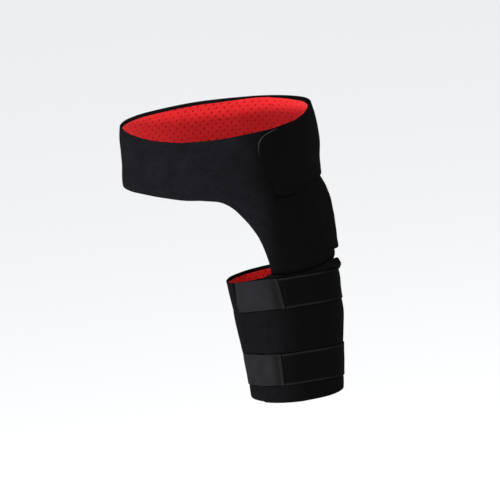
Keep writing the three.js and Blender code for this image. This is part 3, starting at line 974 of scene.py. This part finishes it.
# sews rows of stitches across a band, each row from its low turn to its top one
def sewAcross(name, strap, rowEnds, outAt):
    stitch = makeStitch()
    sewn = []
    count = int((strap["width"] - 2 * thread["inset"]) / thread["pitch"])
    for lowTurn, topTurn in rowEnds:
        for k in range(count + 1):
            turn = mix(lowTurn, topTurn, k / count)
            height = strapMiddle(strap, turn) + (k - count / 2) * thread["pitch"]
            spot, above, outer = (formPoint(turn, h, outAt(turn, h) + lift) for h, lift in
                                  ((height, 0), (height + 1, 0), (height, 1)))
            uphill, outward = (above - spot).normalized(), (outer - spot).normalized()
            copy = stitch.copy()
            copy.data = stitch.data.copy()
            bpy.context.scene.collection.objects.link(copy)
            turned = Matrix((uphill, outward.cross(uphill), outward)).transposed().to_4x4()
            copy.matrix_world = Matrix.Translation(spot) @ turned
            sewn.append(copy)
    bpy.data.objects.remove(stitch)
    bpy.ops.object.select_all(action="DESELECT")
    for copy in sewn:
        copy.select_set(True)
    bpy.context.view_layer.objects.active = sewn[0]
    bpy.ops.object.join()
    bpy.ops.object.transform_apply(location=True, rotation=True, scale=True)
    row = bpy.context.active_object
    row.name = name
    finishPiece(row, threadFinish)


# one strap: the webbing band with its stitches, then the tab
def makeStrap(key, strap):
    strapWeave = bandMaterial(key + "StrapWebbing", strap["width"], webbing)
    tabWeave = bandMaterial(key + "TabCloth", strap["width"], tabCloth)
    tabStart = strap["jointTop"] - bandShape["overTab"]
    liftFrom, liftTo = (tabStart - turns for turns in bandShape["liftTurns"])
    lift = layers["strap"] + layers["bonded"]

    def strapOut(turn, height):
        return strapBase(turn, height) + lift * ramp(turn, liftFrom, liftTo)

    def stitchOut(turn, height):
        return strapOut(turn, height) + layers["strap"] + thread["out"]

    # painted light: lighter towards the band's front end, darker over the back and the right side
    def strapPaintedLight(turn, height):
        return mix(bandShape["leastLit"], 1.0, ramp(turn, *bandShape["litTurns"]))

    # painted shade on the tab next to the band's end
    def tabPaintedLight(turn, height):
        shadeRampFrom, shadeRampTo = (strap["jointTop"] + turns for turns in bandShape["tabLitTurns"])
        return mix(bandShape["tabLeastLit"], 1.0, ramp(turn, shadeRampFrom, shadeRampTo))

    rows = bandRows(strap, strap["start"], strap["jointLow"], strap["jointTop"], bandShape["columns"])
    band = layGrid(key + "StrapBand", rows, strapOut, strapPaintedLight)
    centreMap(band, strap["width"])
    seams = [(strap["start"] + off, strap["start"] + off) for off in bandShape["startSeams"]]
    seams += [(strap["jointLow"] - off, strap["jointTop"] - off) for off in bandShape["endSeams"]]
    sewAcross(key + "StrapStitching", strap, seams, stitchOut)
    thicken(band, layers["strap"], bandShape["bandEdge"])
    finishPiece(band, strapWeave, key + "_thigh_strap")

    ends = (tabStart, strap["tabLow"], strap["tabTop"])
    rows = bandRows(strap, *ends, bandShape["tabColumns"], bandShape["roundEnd"])
    tab = layGrid(key + "StrapTab", rows, strapBase, tabPaintedLight)
    centreMap(tab, strap["width"])
    thicken(tab, layers["strap"] - bandShape["tabThinner"], bandShape["tabEdge"])
    finishPiece(tab, tabWeave, key + "_strap_tab")


for key, strap in straps.items():
    makeStrap(key, strap)


# floor, light and camera, in metres and degrees
studio = {
    "floorHeight": -1.3, "floorSize": 120, "paper": (0.935, 0.94, 0.945),
    "world": (0.93, 0.96, 1.0), "worldStrength": 0.22,
    "lampTarget": (0.02, 0, 0),
    "overhead": 2.25, "overheadAngle": 50, "overheadTilt": (-16, -4, 0),
    "target": (0.03465, 0.0, -0.1754), "elevation": 12.0, "roll": 6.0,
    "distance": 12.0, "fieldWidth": 0.825, "sensor": 36,
}
softboxes = [
    {"name": "sideSoftbox", "azimuth": -62, "elevation": 0, "reach": 3.4, "width": 1.3, "height": 0.35,
     "power": 100},
    {"name": "frontSoftbox", "azimuth": -8, "elevation": 1.6, "reach": 3.4, "width": 1.0, "height": 0.24,
     "power": 82},
    {"name": "rimSoftbox", "azimuth": 96, "elevation": 42, "reach": 3.2, "width": 0.9, "height": 0.9,
     "power": 72},
]


def makeStudio():
    bpy.ops.object.select_all(action="DESELECT")
    bpy.ops.mesh.primitive_plane_add(size=studio["floorSize"], location=(0, 0, studio["floorHeight"]))
    floor = bpy.context.active_object
    floor.name = "studioFloor"
    paper = Finish("palePaper")
    paper.set(Base_Color=studio["paper"], Roughness=0.9)
    floor.data.materials.append(paper.material)

    world = bpy.data.worlds.new("studioWorld")
    world.use_nodes = True
    backdrop = world.node_tree.nodes["Background"]
    backdrop.inputs["Color"].default_value = (*studio["world"], 1)
    backdrop.inputs["Strength"].default_value = studio["worldStrength"]
    bpy.context.scene.world = world

    for box in softboxes:
        turned, raised = math.radians(box["azimuth"]), math.radians(box["elevation"])
        level = math.cos(raised)
        towards = Vector((math.sin(turned) * level, -math.cos(turned) * level, math.sin(raised)))
        place = Vector(studio["lampTarget"]) + towards * box["reach"]
        bpy.ops.object.light_add(type="AREA", location=place)
        lamp = bpy.context.active_object
        lamp.name = box["name"]
        lamp.data.shape = "RECTANGLE"
        lamp.data.size = box["width"]
        lamp.data.size_y = box["height"]
        lamp.data.energy = box["power"]
        lamp.rotation_euler = (-towards).to_track_quat("-Z", "Y").to_euler()

    bpy.ops.object.light_add(type="SUN", location=(0, 0, 4))
    sky = bpy.context.active_object
    sky.name = "overheadLight"
    sky.data.energy = studio["overhead"]
    sky.data.angle = math.radians(studio["overheadAngle"])
    sky.rotation_euler = [math.radians(tilt) for tilt in studio["overheadTilt"]]

    eye = bpy.data.objects.new("photoCamera", bpy.data.cameras.new("photoCamera"))
    bpy.context.scene.collection.objects.link(eye)
    up = math.radians(studio["elevation"])
    back = Vector((0, -math.cos(up), math.sin(up)))
    eye.location = Vector(studio["target"]) + back * studio["distance"]
    facing = (-back).to_track_quat("-Z", "Y")
    eye.rotation_mode = "QUATERNION"
    eye.rotation_quaternion = facing @ Quaternion((0, 0, 1), math.radians(-studio["roll"]))
    eye.data.sensor_width = studio["sensor"]
    eye.data.lens = studio["sensor"] * studio["distance"] / studio["fieldWidth"]
    eye.data.clip_end = 200
    bpy.context.scene.camera = eye
    bpy.context.scene.view_settings.view_transform = "Standard"


makeStudio()
